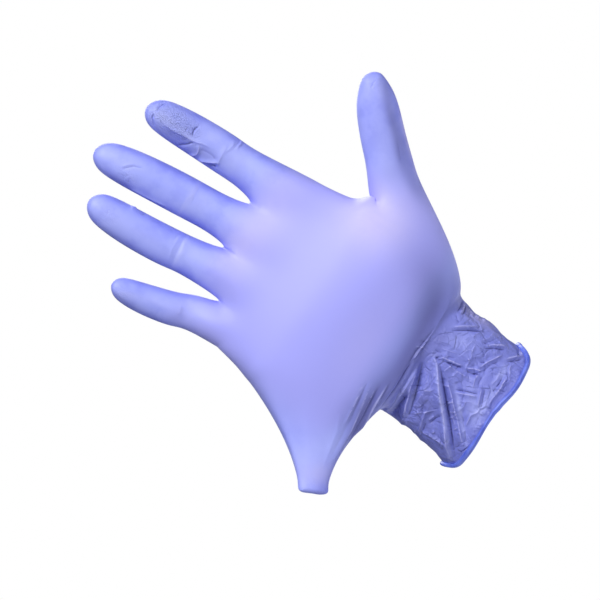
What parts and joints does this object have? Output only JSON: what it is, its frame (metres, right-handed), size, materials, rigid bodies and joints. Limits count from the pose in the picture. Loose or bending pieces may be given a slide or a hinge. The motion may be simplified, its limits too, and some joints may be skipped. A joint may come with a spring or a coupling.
{
  "type": "nitrile exam glove",
  "caption": "Thin nitrile exam glove for the right hand with a crumpled beaded cuff, worn open with its palm film pulled out to the little-finger side.",
  "frame": {"origin": "middle of the cuff's mouth, where the wrist goes in", "axes": "+Z from the cuff's mouth to the fingertips, the palm faces -Y, the thumb is on the +X side"},
  "size_m": [0.1877, 0.0622, 0.2314],
  "materials": {
    "nitrile_film": "satin, thin stretched film in violet blue",
    "nitrile_bead": "satin, rolled film in a deeper violet blue"
  },
  "bodies": {
    "root": {"glove_shell": "nitrile_film", "cuff_bead": "nitrile_bead"}
  },
  "joints": []
}
